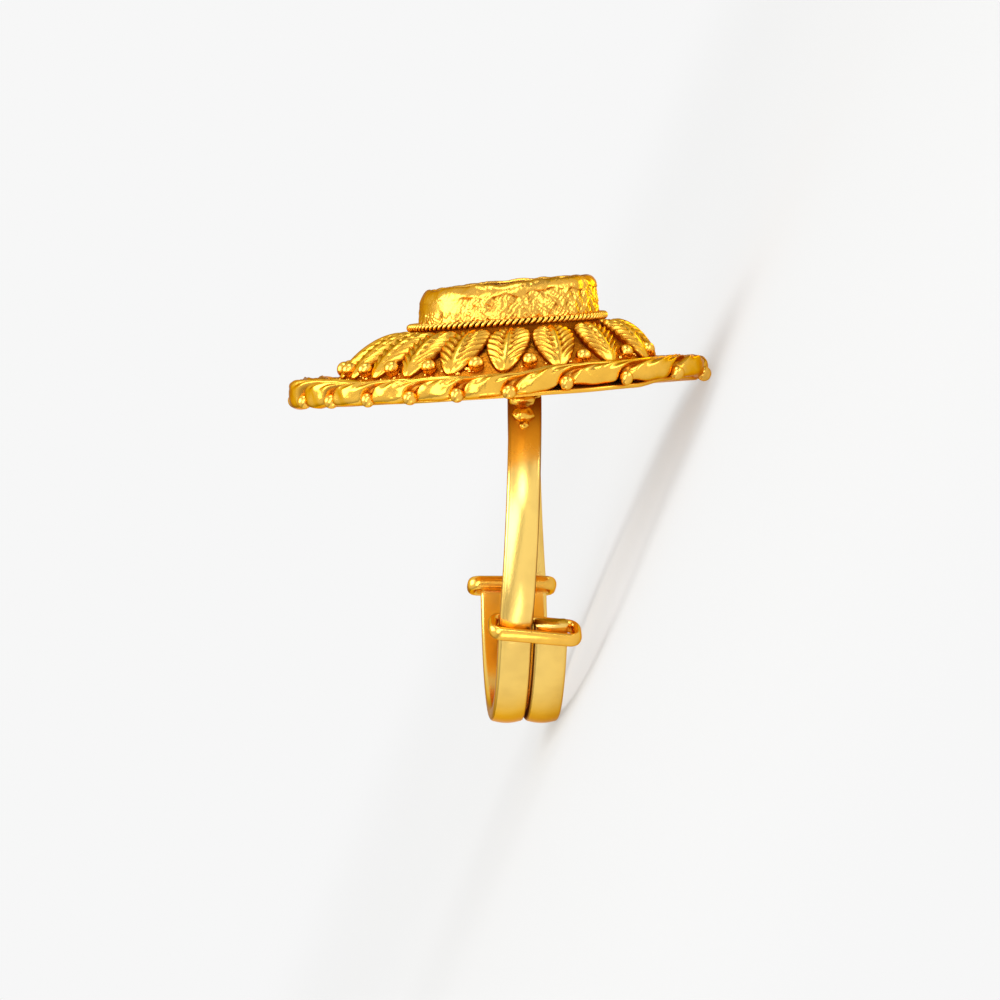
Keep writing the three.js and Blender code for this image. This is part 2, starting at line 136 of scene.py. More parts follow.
def shell(name, points, material, closed=(False, True), twist=0, painted_shade=None):
    """A skin over sheets of points [sheet, row, column, xyz], in metres: every four neighbours make a face.

    Rows or columns that are closed run round, and the last column joins the first twist rows further on.
    A row that is drawn to one point becomes a pole. The last argument is each point's painted shade, 0 to
    1: how dark it is drawn for lying in a hollow.
    """
    points = points.reshape((-1,) + points.shape[-3:])
    index = np.arange(points[..., 0].size).reshape(points.shape[:3])
    if closed[0]:
        index = np.concatenate([index, index[:, :1]], axis=1)
    if closed[1]:
        first = index[:, :, :1]
        if twist:
            first = np.roll(index[:, :-1, :1], -twist, axis=1)
            first = np.concatenate([first, first[:, :1]], axis=1)
        index = np.concatenate([index, first], axis=2)
    corners = [index[:, :-1, :-1], index[:, :-1, 1:], index[:, 1:, 1:], index[:, 1:, :-1]]
    faces = np.stack(corners, axis=-1).reshape(-1, 4)
    mesh = bpy.data.meshes.new(name)
    mesh.from_pydata(points.reshape(-1, 3), [], faces)
    painted_shade_layer = mesh.attributes.new("painted_shade", "FLOAT", "POINT")
    if painted_shade is not None:
        depths = np.broadcast_to(painted_shade, points.shape[:3]).astype(np.float32)
        painted_shade_layer.data.foreach_set("value", depths.ravel())
    work = bmesh.new()
    work.from_mesh(mesh)
    bmesh.ops.remove_doubles(work, verts=work.verts, dist=MERGE_WITHIN * MM)
    bmesh.ops.recalc_face_normals(work, faces=work.faces)
    work.to_mesh(mesh)
    work.free()
    mesh.polygons.foreach_set("use_smooth", np.ones(len(mesh.polygons), bool))
    mesh.materials.append(material)
    made = bpy.data.objects.new(name, mesh)
    bpy.context.scene.collection.objects.link(made)
    return made


# White card, matt: an even pale ground with a soft shadow under the ring. Its glow hides where it ends.
card, card_tree, card_shader = new_material("lit_white_card")
card_shader.inputs["Base Color"].default_value = srgb(CARD_COLOUR)
card_shader.inputs["Roughness"].default_value = CARD_ROUGHNESS
card_shader.inputs["Specular IOR Level"].default_value = 0.0
from_ring = add(
    card_tree, "ShaderNodeVectorMath", {0: add(card_tree, "ShaderNodeTexCoord").outputs["Object"]},
    operation="LENGTH",
)
glow_share = add(
    card_tree, "ShaderNodeMapRange",
    {"Value": from_ring.outputs["Value"], "From Min": CARD_RADIUS, "From Max": GLOW_RADIUS},
    interpolation_type="SMOOTHERSTEP",
)
glow_share.inputs["To Min"].default_value = CARD_GLOW
to_camera = add(card_tree, "ShaderNodeLightPath").outputs["Is Camera Ray"]
glow_strength = add(card_tree, "ShaderNodeMapRange", {"Value": to_camera, "To Min": CARD_BOUNCE})
glow = add(
    card_tree, "ShaderNodeEmission",
    {"Color": srgb(ROOM_COLOUR), "Strength": glow_strength.outputs["Result"]},
)
card_mix = add(
    card_tree, "ShaderNodeMixShader",
    {0: glow_share.outputs["Result"], 1: card_shader.outputs["BSDF"], 2: glow.outputs["Emission"]},
)
card_tree.links.new(card_mix.outputs["Shader"], card_tree.nodes["Material Output"].inputs["Surface"])

floor_out = np.array(FLOOR_RINGS)[:, None]
floor_round = np.linspace(0, 2 * math.pi, FLOOR_SEGMENTS, endpoint=False)
floor_level = 0 * floor_out * floor_round
floor_points = np.stack(
    [floor_out * np.cos(floor_round), floor_out * np.sin(floor_round), floor_level], axis=-1,
)
shell("floor", floor_points, card)

# Light
# Soft boxes round the ring: one overhead, one on the camera's side, one beside the head and one beyond it.
# Small panels let into the table light the shaded side from below. Between them the room is dim near the
# floor and bright above, which gives the gold its dark and pale bands.

SOFT_BOXES = [
    {"name": "overhead", "at": (-0.1, -0.04, 0.55), "size": (0.38, 0.38), "radiance": 4.8},
    {"name": "camera_side", "at": (-0.06, -0.55, 0.26), "size": (0.6, 0.26), "radiance": 3.4},
    {"name": "head_side", "at": (0.32, -0.45, 0.15), "size": (0.17, 0.17), "radiance": 5.6},
    {"name": "beyond_head", "at": (0.5, -0.08, 0.33), "size": (0.22, 0.22), "radiance": 6.0},
]
TABLE_PANELS = [
    {"name": "panel_near", "at": (0.02, -0.012, 0.0004), "size": (0.01, 0.01), "radiance": 4.0},
    {"name": "panel_far", "at": (0.018, 0.006, 0.0004), "size": (0.007, 0.007), "radiance": 4.0},
    {"name": "panel_band", "at": (-0.016, -0.02, 0.0004), "size": (0.012, 0.008), "radiance": 2.5},
]
ROOM_DIM = 0.5
ROOM_BRIGHT = 1.05
ROOM_BRIGHT_FROM = 0.6


def soft_box(name, at, size, radiance, aim):
    """A flat light, width by height, that shines along aim: its power is radiance times pi times area."""
    light = bpy.data.lights.new(name, "AREA")
    light.shape = "RECTANGLE"
    light.size, light.size_y = size
    light.energy = radiance * math.pi * size[0] * size[1]
    lamp = bpy.data.objects.new(name, light)
    bpy.context.scene.collection.objects.link(lamp)
    lamp.visible_camera = False
    turned = Vector(aim).to_track_quat("-Z", "Y").to_matrix().to_4x4()
    lamp.matrix_world = Matrix.Translation(at) @ turned


for box in SOFT_BOXES:
    soft_box(**box, aim=-Vector(box["at"]))
for panel in TABLE_PANELS:
    soft_box(**panel, aim=(0, 0, 1))

world = bpy.data.worlds.new("room")
world.use_nodes = True
room = world.node_tree
towards = add(room, "ShaderNodeSeparateXYZ", {0: add(room, "ShaderNodeTexCoord").outputs["Generated"]})
room_light = add(
    room, "ShaderNodeMapRange",
    {"Value": towards.outputs["Z"], "From Min": 0.0, "From Max": ROOM_BRIGHT_FROM},
    interpolation_type="SMOOTHSTEP",
)
room_light.inputs["To Min"].default_value = ROOM_DIM
room_light.inputs["To Max"].default_value = ROOM_BRIGHT
seen = add(room, "ShaderNodeBackground", {"Color": srgb(ROOM_COLOUR)})
lit = add(room, "ShaderNodeBackground", {"Strength": room_light.outputs["Result"]})
eye = add(room, "ShaderNodeLightPath").outputs["Is Camera Ray"]
room_mix = add(room, "ShaderNodeMixShader", {0: eye, 1: lit.outputs[0], 2: seen.outputs[0]})
room.links.new(room_mix.outputs[0], room.nodes["World Output"].inputs["Surface"])
bpy.context.scene.world = world
bpy.context.scene.view_settings.view_transform = "Standard"

# Base plate
# A round sheet of gold that carries the whole head. It is cut and filed by hand, so its underside
# is a little uneven, and its edge shows as a thin line below the border.

HEAD_HEIGHT = 17.85
HEAD_SHIFT = -1.38
HEAD_LEAN_DEG = 4.1
PLATE_RADIUS = 10.75
BORDER_RADIUS = 10.25
PLATE_THICKNESS = 0.4
PLATE_RIM = 0.24
PLATE_UNEVEN = 0.012
PLATE_RINGS = 28
PLATE_RIM_STEPS = 15
PLATE_SEGMENTS = 240
RIM_SHARPNESS = 6
PLATE_BULGE = {"out": 0.42, "at_deg": 22, "half_deg": 17}
PLATE_LIFT = {"rise": 0.2, "from_deg": (38, 50), "to_deg": (66, 78)}
GRAZING_COLOUR = "#e2aa66"
STAIN_SHARE = 0.6
STAIN_FREE = 0.24
HOLLOW_DULLING = 0.25

lean = math.radians(HEAD_LEAN_DEG)
head_axes = np.array([
    [math.cos(lean), 0, math.sin(lean)],
    [0, 1, 0],
    [-math.sin(lean), 0, math.cos(lean)],
])
head_at = np.array([HEAD_SHIFT, 0, HEAD_HEIGHT + HEAD_SHIFT * math.tan(lean)])
rng = np.random.default_rng(7)


def on_head(points):
    """Puts points of the head, measured from the middle of the plate's underside, on the leaning head."""
    return to_row(points @ head_axes + head_at)


def on_circle(radius, angle, height, shift=0.0):
    """Points round the head's axis: the angle goes from the camera's side towards +X."""
    sideways, away = shift + radius * np.sin(angle), -radius * np.cos(angle)
    return np.stack(np.broadcast_arrays(sideways, away, height), axis=-1)


def ripples(angle, height, count, around, upward, folded=False):
    """Uneven hand work: a sum of waves, a whole number of each round the head, and each with its own slope.

    The waves are cosines, or zigzags where the metal is folded: flat facets between sharp creases.
    """
    waves = rng.integers(around[0], around[1], count).reshape(-1, 1, 1)
    slopes = rng.uniform(-upward, upward, (count, 1, 1))
    starts = rng.uniform(0, 2 * math.pi, (count, 1, 1))
    sway = np.cos(waves * angle + slopes * height + starts)
    if folded:
        sway = 1 - 2 * np.arccos(np.clip(sway, -1, 1)) / math.pi
    return sway.sum(axis=0) / math.sqrt(count)


def gold(name, bright, shade_and_stain_colour, roughness, grain, grain_height, mottle=1.2):
    """Gold in its own colour, with painted shade in its hollows, a grain and a slow mottle, both in mm.

    Depth, the painted shade attribute plus a share of the mottle, mixes the two colours and dulls the
    shine.
    Seen along its surface gold goes over to the grazing colour, which draws the darker outlines.
    """
    material, tree, shader = new_material(name)
    where = add(tree, "ShaderNodeTexCoord").outputs["Object"]
    painted_shade_layer = add(tree, "ShaderNodeAttribute", attribute_name="painted_shade").outputs["Fac"]
    slow = add(tree, "ShaderNodeTexNoise", {"Vector": where, "Scale": 1 / (mottle * MM), "Detail": 3.0})
    fine = add(tree, "ShaderNodeTexNoise", {"Vector": where, "Scale": 1 / (grain * MM), "Detail": 4.0})
    stain = add(
        tree, "ShaderNodeMath", {0: slow.outputs["Fac"], 1: STAIN_SHARE, 2: -STAIN_FREE},
        operation="MULTIPLY_ADD",
    )
    # Depth: painted shade from the attribute, plus a share of the slow mottle, which is stain.
    depth = add(tree, "ShaderNodeMath", {0: painted_shade_layer, 1: stain.outputs[0]}, operation="ADD", use_clamp=True)
    colour = add(
        tree, "ShaderNodeMix", {0: depth.outputs[0], 6: srgb(bright), 7: srgb(shade_and_stain_colour)}, data_type="RGBA",
    )
    dulled = add(
        tree, "ShaderNodeMath", {0: depth.outputs[0], 1: HOLLOW_DULLING, 2: roughness},
        operation="MULTIPLY_ADD",
    )
    bump = add(tree, "ShaderNodeBump", {"Height": fine.outputs["Fac"], "Distance": grain_height * MM})
    shader.inputs["Metallic"].default_value = 1
    shader.inputs["Specular Tint"].default_value = srgb(GRAZING_COLOUR)
    tree.links.new(colour.outputs[2], shader.inputs["Base Color"])
    tree.links.new(dulled.outputs[0], shader.inputs["Roughness"])
    tree.links.new(bump.outputs["Normal"], shader.inputs["Normal"])
    return material


def smooth(low, high, value):
    """A smooth step: 0 below low, 1 above high, and level at both ends."""
    share = np.clip((value - low) / (high - low), 0, 1)
    return share * share * (3 - 2 * share)


def lifted(angle, lift):
    """How far the edge of the head is bent up at an angle: up over from_deg and down again over to_deg."""
    turned = np.degrees(np.mod(angle + math.pi, 2 * math.pi) - math.pi)
    return lift["rise"] * smooth(*lift["from_deg"], turned) * (1 - smooth(*lift["to_deg"], turned))


# Filed sheet gold: satin, with fine file marks that break up what it reflects.
sheet_gold = gold("filed_sheet_gold", "#f6bb44", "#b06a10", 0.3, grain=0.18, grain_height=0.01)

under = np.linspace(0, PLATE_RADIUS - PLATE_RIM / 2, PLATE_RINGS)
bend = np.radians(np.linspace(-90, 90, PLATE_RIM_STEPS))
rim = PLATE_RADIUS - PLATE_RIM / 2 * (1 - np.sqrt(np.abs(np.cos(bend))))
plate_out = np.concatenate([under, rim, [BORDER_RADIUS, 0]])[:, None]
plate_up = np.concatenate([0 * under, PLATE_RIM / 2 * (1 + np.sin(bend)), [PLATE_THICKNESS] * 2])[:, None]
plate_round = np.linspace(0, 2 * math.pi, PLATE_SEGMENTS, endpoint=False)
near_rim = (plate_out / PLATE_RADIUS) ** RIM_SHARPNESS
uneven = PLATE_UNEVEN * ripples(plate_round, plate_out, count=30, around=(2, 18), upward=2.5)
uneven = uneven * (plate_out / PLATE_RADIUS) ** 2
bulge_angle = (np.degrees(plate_round) - PLATE_BULGE["at_deg"]) / PLATE_BULGE["half_deg"]
plate_out = plate_out + PLATE_BULGE["out"] * np.exp(-bulge_angle ** 2) * near_rim
plate_up = plate_up + uneven + lifted(plate_round, PLATE_LIFT) * near_rim
plate = shell("base_plate", on_head(on_circle(plate_out, plate_round, plate_up)), sheet_gold)
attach(plate, "root")
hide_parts("setting")

# Rope border
# A thick cast rope soldered on the edge of the plate: flattened lobes that wind up and over it, each one
# tucked under the next, with ridges along the top where the strands lie.

BORDER_HALF_WIDTH = 1.09
BORDER_HALF_HEIGHT = 0.62
BORDER_MIDDLE = 0.64
BORDER_LIFT = {"rise": 0.25, "from_deg": (2, 14), "to_deg": (66, 78)}
BORDER_THICKENED = 0.26
BORDER_THICKENED_FROM = (0.7, 0.97)
BORDER_OVERHANG = -0.3
BORDER_SEAT = 0.3
LOBES = 22
LOBE_LAYING = {"start_deg": -0.5, "sway": 0.21, "sway_deg": 50.7, "pinch": 0.13, "pinch_deg": -13}
LOBE_STEPS = 40
LOBE_SIDES = 80
LOBE_GROOVE = 0.42
LOBE_SQUARENESS = 3.6
LOBE_ENDS = ((0.03, 0.16), (0.84, 0.97))
LOBE_ROUNDNESS = 0.4
LOBE_SIZES = (0.94, 1.02)
LOBE_TILT = 0.06
LOBE_STRANDS = 2
SIDE_SLANT = 0.03
TOP_TURN_DEG = 85
TOP_SPAN_DEG = 36
TOP_FROM_DEG = (15, 45)
TOP_TO_DEG = (110, 150)
GROOVE_TURN_DEG = -35
STRANDS_ON_TOP = 3
RIDGE_HEIGHT = 0.06
FACET_DEPTH = 0.035
GROOVE_SHADE = 0.9
GROOVE_CLEAR = 0.15
RIDGE_SHADE = 6


def laid_angle(step, count, laying):
    """Equal steps round the head, moved by a sway that goes round once and a pinch that does so twice."""
    even = 2 * math.pi * step / count
    sway_from, pinch_from = np.radians([laying["sway_deg"], laying["pinch_deg"]])
    swayed = np.sin(even - sway_from) + math.sin(sway_from)
    pinched = np.sin(2 * (even - pinch_from)) + math.sin(2 * pinch_from)
    return math.radians(laying["start_deg"]) + even + laying["sway"] * swayed - laying["pinch"] * pinched


# Cast gold, polished on its high faces, with painted shade in the grooves: broad clean highlights, dark
# lines.
cast_gold = gold("polished_cast_gold", "#fbc24a", "#a2580c", 0.18, grain=0.3, grain_height=0.012)

turn = np.radians(TOP_TURN_DEG - 180 + np.arange(LOBE_SIDES) * 360 / LOBE_SIDES)
over_top = np.tanh((turn - math.radians(TOP_TURN_DEG)) / math.radians(TOP_SPAN_DEG))
full_turn = 2 * math.tanh(180 / TOP_SPAN_DEG)
climb = SIDE_SLANT * turn + (LOBE_STRANDS - SIDE_SLANT * 2 * math.pi) / full_turn * over_top
groove_turn = math.radians(GROOVE_TURN_DEG)
climb = climb - np.interp(groove_turn, turn, climb)
lobe_step = np.arange(LOBES * LOBE_STEPS)[:, None] / LOBE_STEPS
lobe = (lobe_step % 1) + 0.5 / LOBE_STEPS
lobe_number = lobe_step.astype(int)
lobe_angle = laid_angle(lobe_step + 0.5 / LOBE_STEPS + climb, LOBES, LOBE_LAYING)
lobe_rise = smooth(*LOBE_ENDS[0], lobe) * (1 - smooth(*LOBE_ENDS[1], lobe))
lobe_rise = lobe_rise * np.sin(math.pi * lobe) ** LOBE_ROUNDNESS
on_top = smooth(*np.radians(TOP_FROM_DEG), turn) * (1 - smooth(*np.radians(TOP_TO_DEG), turn))
ridge = RIDGE_HEIGHT * np.cos(2 * math.pi * (STRANDS_ON_TOP * lobe - 0.5)) * lobe_rise * on_top
lobe_tilt = rng.uniform(-LOBE_TILT, LOBE_TILT, LOBES)[lobe_number] * (2 * lobe - 1)
lobe_size = rng.uniform(*LOBE_SIZES, LOBES)[lobe_number] + lobe_tilt * lobe_rise
facets = FACET_DEPTH * ripples(lobe_angle, 3 * turn, count=40, around=(16, 60), upward=1.2, folded=True)
swell = ((1 - LOBE_GROOVE * (1 - lobe_rise)) * lobe_size + ridge) * (1 + facets * lobe_rise)
corner = LOBE_SQUARENESS
square = (np.abs(np.cos(turn)) ** corner + np.abs(np.sin(turn)) ** corner) ** (-1 / corner)
thick = BORDER_HALF_HEIGHT * (1 + BORDER_THICKENED * smooth(*BORDER_THICKENED_FROM, -np.sin(lobe_angle)))
border_out = BORDER_RADIUS + BORDER_HALF_WIDTH * swell * square * np.cos(turn)
border_up = BORDER_MIDDLE + thick * swell * square * np.sin(turn) + lifted(lobe_angle, BORDER_LIFT)
over_plate = 1 - smooth(PLATE_RADIUS - BORDER_SEAT, PLATE_RADIUS, border_out)
border_up = np.maximum(border_up, BORDER_OVERHANG + (PLATE_RIM - BORDER_OVERHANG) * over_plate)
border_points = on_head(on_circle(border_out, lobe_angle, border_up))
# Painted shade: dark in the grooves between the lobes and between the ridges on top.
border_painted_shade = GROOVE_SHADE * (1 - lobe_rise) - GROOVE_CLEAR - RIDGE_SHADE * np.minimum(ridge, 0)
border_painted_shade = np.clip(border_painted_shade, 0, 1)
border = shell(
    "rope_border", border_points, cast_gold, closed=(True, True), twist=-LOBE_STRANDS * LOBE_STEPS,
    painted_shade=border_painted_shade,
)
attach(border, "root")
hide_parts("setting")

# Granules
# Small balls of melted gold, one in each groove of the border and one between the tips of the leaves.
# They draw up round on charcoal and are soldered in place, so no two are quite alike.

BORDER_GRANULE = {"radius": 0.4, "ring": 11.15, "height": 0.32, "sunk": 0.22, "sunk_from": (0.3, 0.9)}
GALLERY_GRANULE = {"radius": 0.43, "ring": 8.17, "height": 1.8}
LEAVES = 18
LEAF_LAYING = {"start_deg": -1.1, "sway": 0.25, "sway_deg": 91.1, "pinch": 0.0, "pinch_deg": 0}
BALL_ROWS = 17
BALL_SIDES = 24
BALL_SIZES = (0.93, 1.02)


def unit_ball(rows, sides):
    """A ball of radius 1 as a grid: its rows fall from pole to pole by equal angles, its sides go round."""
    fall = np.linspace(0, math.pi, rows)[:, None]
    round_it = np.linspace(0, 2 * math.pi, sides, endpoint=False)
    return np.stack([
        np.sin(fall) * np.cos(round_it),
        np.sin(fall) * np.sin(round_it),
        np.cos(fall) + 0 * round_it,
    ], axis=-1)


def balls(centres, radius):
    """A ball on every centre, each drawn a little longer or shorter along its own three axes."""
    sizes = radius * rng.uniform(*BALL_SIZES, (len(centres), 1, 1, 3))
    return centres[:, None, None, :] + sizes * ball


ball = unit_ball(BALL_ROWS, BALL_SIDES)

# Melted gold: the smoothest face on the ring, with a round soft highlight.
melted_gold = gold("melted_gold", "#fbc352", "#a85e08", 0.2, grain=0.2, grain_height=0.008)

border_angle = laid_angle(np.arange(LOBES), LOBES, LOBE_LAYING)
border_rise = BORDER_GRANULE["height"] + lifted(border_angle, BORDER_LIFT)
border_sunk = smooth(*BORDER_GRANULE["sunk_from"], -np.sin(border_angle))
border_ring = BORDER_GRANULE["ring"] - BORDER_GRANULE["sunk"] * border_sunk
border_seat = on_circle(border_ring, border_angle, border_rise)
gallery_angle = laid_angle(np.arange(LEAVES) + 0.5, LEAVES, LEAF_LAYING)
gallery_seat = on_circle(GALLERY_GRANULE["ring"], gallery_angle, GALLERY_GRANULE["height"])
granules = [
    shell("border_granules", on_head(balls(border_seat, BORDER_GRANULE["radius"])), melted_gold),
    shell("gallery_granules", on_head(balls(gallery_seat, GALLERY_GRANULE["radius"])), melted_gold),
]
for piece in granules:
    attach(piece, "root")
    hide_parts("setting")

# Gallery
# The bulging collar under the leaves, raised from sheet: it goes up from the plate and in to the bezel.
# Its colour is painted shade, dark brown, so only thin dark lines of it show between the leaves.

GALLERY_RADIUS = 8.5
GALLERY_FOOT = 1.15
GALLERY_TOP_RADIUS = 5.25
GALLERY_TOP = 3.2
GALLERY_BULGE = 1.85
GALLERY_HOLE = 0.6
GALLERY_STEPS = 25
GALLERY_SEGMENTS = 144
BEZEL_SHIFT = 0.82


def gallery_point(angle, along):
    """The gallery from its foot, 0, to the bezel, 1: the radius goes in evenly, the height levels out."""
    radius = GALLERY_RADIUS + (GALLERY_TOP_RADIUS - GALLERY_RADIUS) * along
    rise = 1 - np.clip(1 - along, 0, None) ** GALLERY_BULGE
    height = GALLERY_FOOT + (GALLERY_TOP - GALLERY_FOOT) * rise
    return on_circle(radius, angle, height, BEZEL_SHIFT * along)


# Raised sheet, rough, in a dark brown that is painted shade for where it lies between the leaves.
shaded_gallery_gold = gold("rough_gold_painted_shade", "#b87018", "#603006", 0.42, grain=0.3, grain_height=0.09, mottle=0.6)

gallery_round = np.linspace(0, 2 * math.pi, GALLERY_SEGMENTS, endpoint=False)[:, None]
gallery_skin = gallery_point(gallery_round, np.linspace(0, 1, GALLERY_STEPS))
gallery_foot = on_circle(GALLERY_RADIUS, gallery_round, np.array([PLATE_THICKNESS / 2]))
inside_up = np.array([GALLERY_TOP, PLATE_THICKNESS / 2])
gallery_inside = on_circle(GALLERY_HOLE * GALLERY_TOP_RADIUS, gallery_round, inside_up, BEZEL_SHIFT)
gallery_points = np.concatenate([gallery_foot, gallery_skin, gallery_inside], axis=1)
gallery = shell("gallery", on_head(gallery_points), shaded_gallery_gold, closed=(True, True))
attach(gallery, "root")
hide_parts("setting")

# Leaves
# Eighteen stamped leaves laid down the gallery with their tips on the plate: a thick rib down the middle,
# slanting veins on both halves, and a smooth tip where the veins run out.

LEAF_WIDTH = 2.36
LEAF_RELIEF = 0.42
LEAF_RIB = 0.13
LEAF_BURIED = 0.3
LEAF_FROM = 0.02
LEAF_TO = 0.98
LEAF_FULLNESS = 1.15
LEAF_ROUNDNESS = 0.45
LEAF_ROWS = 96
LEAF_COLUMNS = 44
VEINS = 9
VEIN_HEIGHT = 0.15
VEIN_SWEEP = 0.3
VEIN_INNER = (0.12, 0.24)
VEIN_FROM_TIP = (0.1, 0.24)
VEIN_EDGE = (0.92, 1)
VEIN_EDGE_FADE = 0.4
VEIN_CURVE = 0.8
VEIN_LEVEL = 0.6
VEIN_SHADE = 0.8
RIB_WIDTH = 0.1
RIB_TIP_WIDTH = 0.22
VALLEY_AT = 0.2
VALLEY_TIP_SHIFT = 0.1
VALLEY_WIDTH = 0.09
VALLEY_DEPTH = 0.06
VALLEY_FROM_TIP = (0.15, 0.4)
VALLEY_SHADE = 0.5
LEAF_EDGE_SHADE = (0.88, 1)
LEAF_EDGE_SHARPNESS = 3.2
LEAF_EDGE_SHARE = 0.3
LEAF_PLUMPNESS = 0.05
LEAF_TIP_THINNING = 0.6
LEAF_UNDER = 0.8
LEAF_NOTCH = 0.05
LEAF_NOTCH_WIDTH = 0.2
LEAF_NOTCH_FROM = (0.8, 1)
LEAF_TURN = 0.008
LEAF_SIZES = (0.97, 1.03)
SLOPE_STEP = 0.01

# Stamped gold: shining crests over dark brown lines of painted shade.
leaf_gold = gold("stamped_gold", "#fbc148", "#985008", 0.19, grain=0.16, grain_height=0.008)

from_tip = np.linspace(0, 1, LEAF_ROWS)[:, None]
side = np.sin(np.linspace(-0.5, 0.5, LEAF_COLUMNS) * math.pi)[None, :]
half = np.abs(side)
spread = np.sin(math.pi * np.clip(from_tip, 0, 1) ** LEAF_FULLNESS) ** LEAF_ROUNDNESS
spread[[0, -1]] = 0
vein_line = VEINS * (from_tip - VEIN_SWEEP * half ** VEIN_CURVE)
vein_share = smooth(*VEIN_INNER, half) * smooth(*VEIN_FROM_TIP, from_tip)
vein_share = vein_share * (1 - VEIN_EDGE_FADE * smooth(*VEIN_EDGE, half))
crest = np.sin(math.pi * vein_line) ** 2
rib_width = RIB_WIDTH + RIB_TIP_WIDTH * (1 - from_tip) ** 2
rib = np.exp(-(side / rib_width) ** 2)
valley_line = VALLEY_AT + VALLEY_TIP_SHIFT * (1 - from_tip)
valley = np.exp(-((half - valley_line) / VALLEY_WIDTH) ** 2) * smooth(*VALLEY_FROM_TIP, from_tip)
edge = np.sqrt(np.clip(1 - half ** LEAF_EDGE_SHARPNESS, 0, 1))
leaf_height = spread ** LEAF_TIP_THINNING * (
    LEAF_RELIEF * (LEAF_EDGE_SHARE + (1 - LEAF_EDGE_SHARE) * edge)
    + LEAF_RIB * rib - VALLEY_DEPTH * valley + LEAF_PLUMPNESS * np.sin(math.pi * half)
    + VEIN_HEIGHT * (crest - VEIN_LEVEL) * vein_share
)
# Painted shade: dark between the veins, in the valleys, at the leaf's edges and on its tucked-under sides.
vein_gap_shade = VEIN_SHADE * (1 - crest) ** 2 * vein_share
leaf_painted_shade = np.clip(vein_gap_shade + VALLEY_SHADE * valley + smooth(*LEAF_EDGE_SHADE, half), 0, 1)
under_side = np.array([[LEAF_UNDER, -LEAF_UNDER]])
leaf_side = np.concatenate([side, under_side], axis=1)
leaf_up = np.concatenate([leaf_height, np.full((LEAF_ROWS, 2), -LEAF_BURIED)], axis=1)
leaf_painted_shade = np.concatenate([leaf_painted_shade, np.ones((LEAF_ROWS, 2))], axis=1)
notch = LEAF_NOTCH * np.exp(-(leaf_side / LEAF_NOTCH_WIDTH) ** 2) * smooth(*LEAF_NOTCH_FROM, from_tip)
leaf_along = LEAF_FROM + (LEAF_TO - LEAF_FROM) * (from_tip - notch)
leaf_angle = laid_angle(np.arange(LEAVES), LEAVES, LEAF_LAYING)[:, None, None]
leaf_angle = leaf_angle + rng.normal(0, LEAF_TURN, (LEAVES, 1, 1)) * from_tip
leaf_wide = LEAF_WIDTH / 2 * rng.uniform(*LEAF_SIZES, (LEAVES, 1, 1)) * spread
leaf_middle = gallery_point(leaf_angle, leaf_along)
leaf_above = gallery_point(leaf_angle, leaf_along + SLOPE_STEP)
leaf_below = gallery_point(leaf_angle, leaf_along - SLOPE_STEP)
leaf_upward = leaf_above - leaf_below
leaf_across = on_circle(1, leaf_angle + math.pi / 2, 0.0) + 0 * leaf_middle
leaf_out = np.cross(leaf_across, leaf_upward)
leaf_out = leaf_out / np.linalg.norm(leaf_out, axis=-1, keepdims=True)
leaf_points = leaf_middle + leaf_across * (leaf_wide * leaf_side)[..., None]
leaf_points = leaf_points + leaf_out * leaf_up[None, ..., None]
leaves = shell("leaves", on_head(leaf_points), leaf_gold, painted_shade=leaf_painted_shade)
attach(leaves, "root")
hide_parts("setting")

# Solder crumbs
# Beads of solder that ran out round the granules and the tips of the leaves and were never cleaned away.

CRUMBS = 190
CRUMB_RADIUS = (0.05, 0.15)
CRUMB_SHAPES = (0.7, 1.2)
CRUMB_ALONG = (0.0, 0.14)

crumb_angle = rng.uniform(0, 2 * math.pi, CRUMBS)
crumb_seat = gallery_point(crumb_angle, rng.uniform(*CRUMB_ALONG, CRUMBS))
crumb_size = rng.uniform(*CRUMB_RADIUS, (CRUMBS, 1, 1, 1)) * rng.uniform(*CRUMB_SHAPES, (CRUMBS, 1, 1, 3))
crumb_points = crumb_seat[:, None, None, :] + crumb_size * ball[::2, ::2]
crumbs = shell("solder_crumbs", on_head(crumb_points), melted_gold)
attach(crumbs, "root")
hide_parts("setting")

# Twisted wire
# Two thin wires twisted together and laid round the foot of the bezel, where it meets the leaves.
# Each strand goes once round the other in two thirds of a millimetre. The ring of wire has slipped a
# little lower at both ends of the head, and outwards at the left end.

WIRE_RING = 5.1
WIRE_HEIGHT = 3.86
WIRE_TURNS = 50
WIRE_STRAND = 0.105
WIRE_TWIST = 0.12
WIRE_STEPS = 14
WIRE_SLIP = {"left": 0.1, "right": 0.06, "out": 0.2}
WIRE_SIDES = 12
STRAND_SHADE = {"middle": 0.9, "swing": 1.5}

# Drawn wire: bright round strands with dark gaps of painted shade.
wire_gold = gold("drawn_wire_gold", "#fac150", "#4a2002", 0.2, grain=0.12, grain_height=0.004)

wire_round = np.linspace(0, 2 * math.pi, WIRE_TURNS * WIRE_STEPS, endpoint=False)
on_left, on_right = ((1 - np.sin(wire_round)) / 2) ** 2, ((1 + np.sin(wire_round)) / 2) ** 2
wire_ring = WIRE_RING + WIRE_SLIP["out"] * on_left
wire_height = WIRE_HEIGHT - WIRE_SLIP["left"] * on_left - WIRE_SLIP["right"] * on_right
strand_turn = WIRE_TURNS * wire_round + np.array([[0], [math.pi]])
strand_ring = wire_ring + WIRE_TWIST * np.cos(strand_turn)
strand_up = wire_height + WIRE_TWIST * np.sin(strand_turn)
strand_line = on_circle(strand_ring, wire_round, strand_up, BEZEL_SHIFT)
strand_lead = np.roll(strand_line, -1, axis=1) - np.roll(strand_line, 1, axis=1)
strand_lead = strand_lead / np.linalg.norm(strand_lead, axis=-1, keepdims=True)
